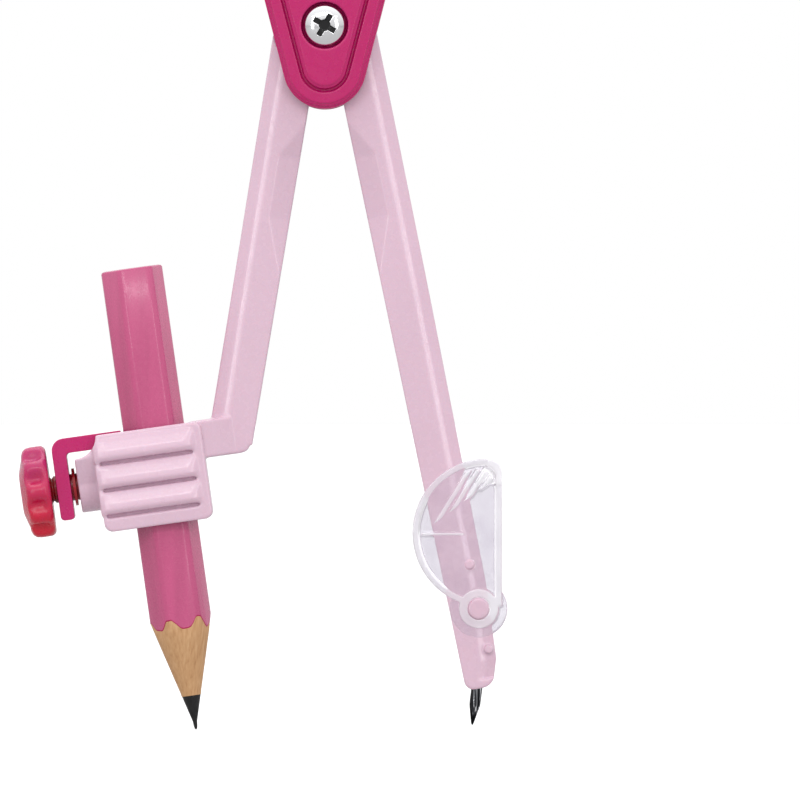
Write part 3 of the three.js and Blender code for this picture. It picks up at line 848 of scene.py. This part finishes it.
def clamp_screw():
    """The screw with its thread ridges, between the knob and the holder."""
    crest, root = CLAMP_SCREW_R, THREAD_ROOT_R
    profile = [(1.45, -15.7), (crest, -15.5)]
    x = -15.3
    while x < -6.7:
        profile += [(crest, x), (crest, x + 0.12), (root, x + 0.32), (root, x + 0.4), (crest, x + 0.6)]
        x += THREAD_PITCH
    profile += [(crest, -6.5), (1.4, -6.22)]
    return move(shade_smooth(lathe(profile, "x")), z=CLAMP_Z)


def build_clamp():
    finish_piece(
        clamp_bracket(), "clamp_bracket_u", PENCIL_FRAME, "clamp_jaw", MAGENTA, "magenta", "clamp_bracket")
    finish_piece(clamp_knob(), "star_knob", PENCIL_FRAME, "clamp_knob", KNOB_RED, "knob_red", "clamp_knob")
    finish_piece(
        clamp_screw(), "threaded_clamp_screw", PENCIL_FRAME, "clamp_knob",
        SHAFT_RED, "knob_red", "clamp_screw")


# ---- pencil ----

PENCIL_SIDES = 120
EDGE_RINGS = 3


def hex_radius(angle, shrink=0.0):
    """Distance from the pencil's axis to its face, with the corners eased."""
    within = (angle - PENCIL_TURN) % (pi / 3) - pi / 6
    flat = (PENCIL_ACROSS / 2 - shrink) / cos(within)
    corner = PENCIL_CORNER_R - shrink - 0.6 * (abs(within) - pi / 6) ** 2
    return min(flat, corner)


def pencil_ring(place):
    """A ring of points, where place(angle) gives radius and height."""
    points = []
    for i in range(PENCIL_SIDES):
        angle = 2 * pi * i / PENCIL_SIDES
        r, h = place(angle)
        points.append((r * cos(angle), r * sin(angle), PENCIL_TIP + h))
    return points


def paint_edge(angle):
    """Height of the scalloped edge where the sharpener's cone leaves the paint, a little ragged."""
    ragged = 0.1 * sin(7 * angle + 1) + 0.06 * sin(17 * angle)
    return hex_radius(angle) / tan(PENCIL_CONE) + ragged


def painted_casing():
    def shell(height_of, shrink):
        return pencil_ring(lambda a: (hex_radius(a, shrink), height_of(a)))
    rings = [
        shell(lambda a: paint_edge(a) + 0.3, 0.3),
        shell(lambda a: paint_edge(a), 0.12),
        shell(lambda a: paint_edge(a) + 0.08, 0.02),
        shell(lambda a: paint_edge(a) + 0.2, 0.0),
    ]
    rings += [shell(lambda a, t=t: paint_edge(a) * (1 - t) + (PENCIL_TOP - 0.3) * t, 0.0)
              for t in (0.25, 0.5, 0.75, 1)]
    rings += [shell(lambda a: PENCIL_TOP - 0.1, 0.12), shell(lambda a: PENCIL_TOP, 0.45)]
    return shade_smooth(rings_mesh(rings), 40)


def darken_cut_edge(casing):
    """Gives the faces round the scalloped edge the cut lacquer's darker colour."""
    casing.data.materials.append(CUT_PAINT)
    for face in casing.data.polygons[:PENCIL_SIDES * EDGE_RINGS]:
        face.material_index = 1


def wood_cone():
    slope = tan(PENCIL_CONE)
    start = LEAD_R / slope - 0.1
    rings = [
        pencil_ring(lambda a: (LEAD_R - 0.3, start + 0.5)),
        pencil_ring(lambda a: (LEAD_R + 0.02, start + 0.04)),
    ]
    for t in (0.05, 0.2, 0.4, 0.6, 0.8, 1.0):
        def surface(angle, t=t):
            low = start + 0.12 * sin(5 * angle)
            height = low * (1 - t) + (paint_edge(angle) + 0.02) * t
            return (min(height * slope, hex_radius(angle, 0.05)), height)
        rings.append(pencil_ring(surface))
    rings.append(pencil_ring(lambda a: (3.1, paint_edge(a) + 1)))
    rings.append(pencil_ring(lambda a: (3.1, 56.5)))
    return shade_smooth(rings_mesh(rings), 60)


def lead_point():
    slope = tan(PENCIL_CONE)
    blunt = [(0.05, 0.0), (0.16, 0.1), (0.24, 0.5)]
    cone = [(h * slope, h) for h in (1.0, 2.0, 3.0, 4.0, LEAD_R / slope)]
    return shade_smooth(lathe([*blunt, *cone, (LEAD_R, 6), (1.0, 57.0)], "z", 72))


def build_pencil():
    casing = finish_piece(
        painted_casing(), "pencil_paint_shell", PENCIL_FRAME, "pencil",
        PAINT, "pencil_paint", "pencil_lacquer")
    darken_cut_edge(casing)
    finish_piece(wood_cone(), "pencil_wood_cone", PENCIL_FRAME, "pencil", WOOD, "pencil_wood", "pencil_wood")
    point = lead_point()
    point.data.transform(Matrix.Translation((0, 0, PENCIL_TIP)))
    finish_piece(point, "pencil_graphite", PENCIL_FRAME, "pencil", GRAPHITE, "graphite", "pencil_lead")


# ---- needle cover ----

COVER_R = 9.3
COVER_CENTRE = (1.05, 9.45)
COVER_RIGHT = 2.9


def cover_outline(inset):
    """The cover's curved blade, without its hub, drawn in by inset."""
    r = COVER_R - inset
    cx, cz = COVER_CENTRE
    right = COVER_RIGHT - inset
    corner = 1.5
    side = degrees(asin((right - cx) / r))
    top_turn = arc(right - corner, cz + r - corner - 0.15, corner, 0, 80, 8)
    return [(right, cz - r * cos(radians(side)))] + top_turn + arc(cx, cz, r, 92, 270 + side - 3, 64)


def cover_ribs():
    """Diagonal finger ribs on the blade's upper part."""
    direction = radians(58)
    step = 0.9
    ribs = []
    for i in range(7):
        line_x = -5.9 + i * step / sin(direction)
        start = (line_x, 9.7)
        length = 9
        end = (start[0] + length * cos(direction), start[1] + length * sin(direction))
        across = (-sin(direction) * 0.24, cos(direction) * 0.24)
        ribs.append(prism([
            (start[0] - across[0], start[1] - across[1]), (end[0] - across[0], end[1] - across[1]),
            (end[0] + across[0], end[1] + across[1]), (start[0] + across[0], start[1] + across[1]),
        ], -3.85, -3.2))
    return ribs


def needle_cover():
    inner, face = COVER_CAVITY, COVER_FACE
    blade = join(prism(cover_outline(0), -face, face), rod(3.6, -face, face, "y"))
    room = box(-20, 42, -inner, inner, -8, 30)
    # the cavity stops short of a solid block with a slanted left side and a round lower one
    block = prism([(-0.9, 15), (20, 15), (20, 30), (8.5, 30)], -inner - 1, inner + 1)
    cut(block, rod(15.75, -5, 5, "y", 128))
    cut(blade, cut(room, block))
    # a raised rim follows the curved side on both faces
    for near, far in ((-COVER_RIM_FACE, -COVER_RIM_ROOT), (COVER_RIM_ROOT, COVER_RIM_FACE)):
        join(blade, cut(prism(cover_outline(0.02), near, far), prism(cover_outline(0.75), near - 1, far + 1)))
        join(blade, rod(2.44, near, far, "y"))
    ribs = cover_ribs()
    field = prism([p for p in cover_outline(1.25) if p[1] > 9.3], -4, -3)
    trimmed = [overlap(rib, duplicate(field)) for rib in ribs]
    bpy.data.objects.remove(field)
    join(blade, *trimmed)
    join(blade, prism([(-7.1, 9.2), (-1.9, 9.2), (-1.9, 9.45), (-7.0, 9.45)], -3.8, -3.3))
    cut(blade, rod(1.4, -10, 10, "y"), move(rod(0.7, -10, 10, "y", 32), -1.1, 0, 5.5))
    return soften(blade, 0.1, 2)


def duplicate(obj):
    return new_object(obj.name, obj.data.copy())


def build_needle_cover():
    cover = finish_piece(
        needle_cover(), "flip_cover", COVER_FRAME, "needle_guard", CLEAR, "clear_plastic", "needle_cover")
    # light reaches the leg through the clear plastic
    cover.visible_shadow = False
    cover.visible_diffuse = False


# ---- kept CAD pieces ----

KEPT = {
    "hinge_bush": BRASS, "front_friction_washer": NYLON, "middle_friction_washer": NYLON,
    "rear_spring_washer": STEEL, "head_spacer": MAGENTA, "grip_stem": STEEL,
    "threaded_insert": BRASS, "retaining_clip": SHAFT_RED,
}


def dress_kept_pieces():
    for name, material in KEPT.items():
        node = frame["nodes"][name]
        node.data.materials.clear()
        node.data.materials.append(material)


# ---- studio ----

FLOOR_BOUNCE = 0.44
SKY_LOW = 0.78
SKY_HIGH = 1.5
LIGHT_TARGET = Vector((0, 0, 0.05))
VIEW_CENTRE = PIVOT + Vector((9.4, 0, -46.75)) * MM
# name, place, watts, width and height
LIGHTS = (
    ("left strip", (-0.42, -0.8, 0.2), 0.9, 0.07, 0.5),
    ("right strip", (0.42, -0.8, 0.2), 0.8, 0.07, 0.5),
    ("high strip", (-0.05, -0.85, 0.48), 1.1, 0.6, 0.08),
    ("top", (-0.1, 0.1, 0.9), 1.2, 0.5, 0.5),
)


def seen_share(nodes, kinds):
    """1 for rays of the given kinds, such as those the camera sends, and 0 for the rest."""
    path = nodes.new("ShaderNodeLightPath")
    links = path.id_data.links
    total = path.outputs[kinds[0]]
    for kind in kinds[1:]:
        larger = nodes.new("ShaderNodeMath")
        larger.operation = "MAXIMUM"
        links.new(total, larger.inputs[0])
        links.new(path.outputs[kind], larger.inputs[1])
        total = larger.outputs["Value"]
    return total


def build_floor():
    """A wide floor: pale paper to the camera, also through clear pieces, and mid grey to other rays."""
    half = 30
    corners = ((-half, -half), (half, -half), (half, half), (-half, half))
    bm = bmesh.new()
    bm.faces.new([bm.verts.new((x, y, 0)) for x, y in corners])
    floor = from_bmesh("floor", bm)
    n = Nodes("floor_paper")
    paper = n.ramp(n.noise(scale=60, detail=3), [(0.3, linear(249, 249, 250)), (0.7, linear(252, 252, 253))])
    mix = n.add("ShaderNodeMix", data_type="RGBA")
    n.link(seen_share(n.tree.nodes, ("Is Camera Ray", "Is Transmission Ray")), mix.inputs["Factor"])
    mix.inputs["A"].default_value = (*[FLOOR_BOUNCE] * 3, 1)
    n.link(paper, mix.inputs["B"])
    n.link(mix.outputs["Result"], n.shader.inputs["Base Color"])
    n.set(Roughness=0.9)
    floor.data.materials.append(n.material)


def add_light(name, place, energy, width, height):
    light = bpy.data.lights.new(name, "AREA")
    light.energy = energy
    light.shape = "RECTANGLE"
    light.size = width
    light.size_y = height
    lamp = bpy.data.objects.new(name, light)
    bpy.context.scene.collection.objects.link(lamp)
    lamp.location = place
    aim = LIGHT_TARGET - Vector(place)
    lamp.rotation_euler = aim.to_track_quat("-Z", "Y").to_euler()


def build_sky():
    """Soft light all round, stronger from above. Where the camera sees it, it is plain white."""
    world = bpy.data.worlds.new("studio")
    world.use_nodes = True
    tree = world.node_tree
    place = tree.nodes.new("ShaderNodeTexCoord")
    axes = tree.nodes.new("ShaderNodeSeparateXYZ")
    tree.links.new(place.outputs["Generated"], axes.inputs["Vector"])
    glow = tree.nodes.new("ShaderNodeMapRange")
    glow.inputs["To Min"].default_value = SKY_LOW
    glow.inputs["To Max"].default_value = SKY_HIGH
    tree.links.new(axes.outputs["Z"], glow.inputs["Value"])
    strength = tree.nodes.new("ShaderNodeMix")
    tree.links.new(seen_share(tree.nodes, ("Is Camera Ray",)), strength.inputs["Factor"])
    tree.links.new(glow.outputs["Result"], strength.inputs["A"])
    strength.inputs["B"].default_value = 1.0
    background = tree.nodes["Background"]
    background.inputs["Color"].default_value = (1, 1, 1, 1)
    tree.links.new(strength.outputs["Result"], background.inputs["Strength"])
    bpy.context.scene.world = world


def build_studio():
    build_floor()
    for light in LIGHTS:
        add_light(*light)
    build_sky()
    bpy.context.scene.view_settings.view_transform = "Standard"


def build_camera():
    """Level, straight from the front, through a long lens."""
    camera = bpy.data.cameras.new("camera")
    camera.lens = LENS
    camera.sensor_width = SENSOR
    camera.clip_start = 0.01
    camera_object = bpy.data.objects.new("camera", camera)
    bpy.context.scene.collection.objects.link(camera_object)
    distance = VIEW_WIDTH * LENS / SENSOR
    camera_object.location = VIEW_CENTRE - Vector((0, distance, 0))
    camera_object.rotation_euler = (pi / 2, 0, 0)
    bpy.context.scene.camera = camera_object


build_camera()
build_studio()
build_head()
build_grip()
build_legs()
build_clamp()
build_pencil()
build_needle_cover()
dress_kept_pieces()
